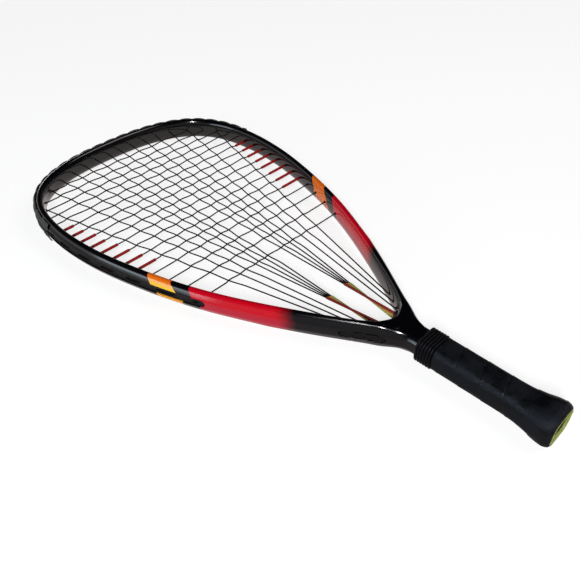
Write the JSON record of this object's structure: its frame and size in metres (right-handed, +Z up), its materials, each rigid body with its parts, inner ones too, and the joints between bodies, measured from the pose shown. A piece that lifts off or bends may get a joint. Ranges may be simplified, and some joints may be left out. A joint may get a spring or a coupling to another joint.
{
  "type": "racquetball racket",
  "caption": "Racquetball racket: teardrop carbon hoop running into a hollow shaft, strung bed with coloured sleeves, head guard, ribbed collar, wrapped grip and flared butt cap.",
  "frame": {"origin": "centre of the overall box seen from above, at its lowest level, which is the underside of the butt cap's rim", "axes": "+X from the head tip to the butt along the shaft, +Y across the head, +Z up, square to the string bed"},
  "size_m": [0.5588, 0.2656, 0.032],
  "materials": {
    "painted_carbon": "glossy lacquer over a dark carbon laminate, with orange and red fields",
    "guard_nylon": "matt moulded nylon",
    "grommet_nylon": "satin moulded nylon",
    "main_string": "satin synthetic string",
    "cross_string": "satin synthetic string",
    "red_sleeve": "satin soft plastic tube",
    "throat_sleeve_green": "satin soft plastic tube",
    "throat_sleeve_yellow": "satin soft plastic tube",
    "throat_sleeve_orange": "satin soft plastic tube",
    "throat_sleeve_brown": "satin soft plastic tube",
    "anchor_nylon": "plain moulded nylon",
    "collar_rubber": "satin moulded rubber",
    "grip_wrap": "slightly tacky synthetic leather",
    "cap_plastic": "satin moulded plastic",
    "plug_plastic": "satin moulded plastic"
  },
  "bodies": {
    "root": {"frame": "painted_carbon", "bumper_guard": "guard_nylon", "grommet_strip_near": "grommet_nylon", "grommet_strip_far": "grommet_nylon", "throat_strip_near": "grommet_nylon", "throat_strip_far": "grommet_nylon", "throat_grommet": "grommet_nylon", "main_string": "main_string", "cross_string": "cross_string", "side_sleeve_far_1": "red_sleeve", "side_sleeve_far_2": "red_sleeve", "side_sleeve_far_3": "red_sleeve", "side_sleeve_far_4": "red_sleeve", "side_sleeve_far_5": "red_sleeve", "side_sleeve_far_6": "red_sleeve", "side_sleeve_far_7": "red_sleeve", "side_sleeve_far_8": "red_sleeve", "throat_sleeve_far_1": "throat_sleeve_green", "throat_sleeve_far_2": "throat_sleeve_yellow", "throat_sleeve_far_3": "throat_sleeve_orange", "throat_sleeve_far_4": "throat_sleeve_brown", "side_sleeve_near_1": "red_sleeve", "side_sleeve_near_2": "red_sleeve", "side_sleeve_near_3": "red_sleeve", "side_sleeve_near_4": "red_sleeve", "side_sleeve_near_5": "red_sleeve", "side_sleeve_near_6": "red_sleeve", "side_sleeve_near_7": "red_sleeve", "side_sleeve_near_8": "red_sleeve", "throat_sleeve_near_1": "throat_sleeve_green", "throat_sleeve_near_2": "throat_sleeve_yellow", "throat_sleeve_near_3": "throat_sleeve_orange", "throat_sleeve_near_4": "throat_sleeve_brown", "string_anchor": "anchor_nylon", "collar": "collar_rubber", "grip": "grip_wrap", "butt_cap": "cap_plastic", "butt_plug": "plug_plastic"}
  },
  "joints": []
}
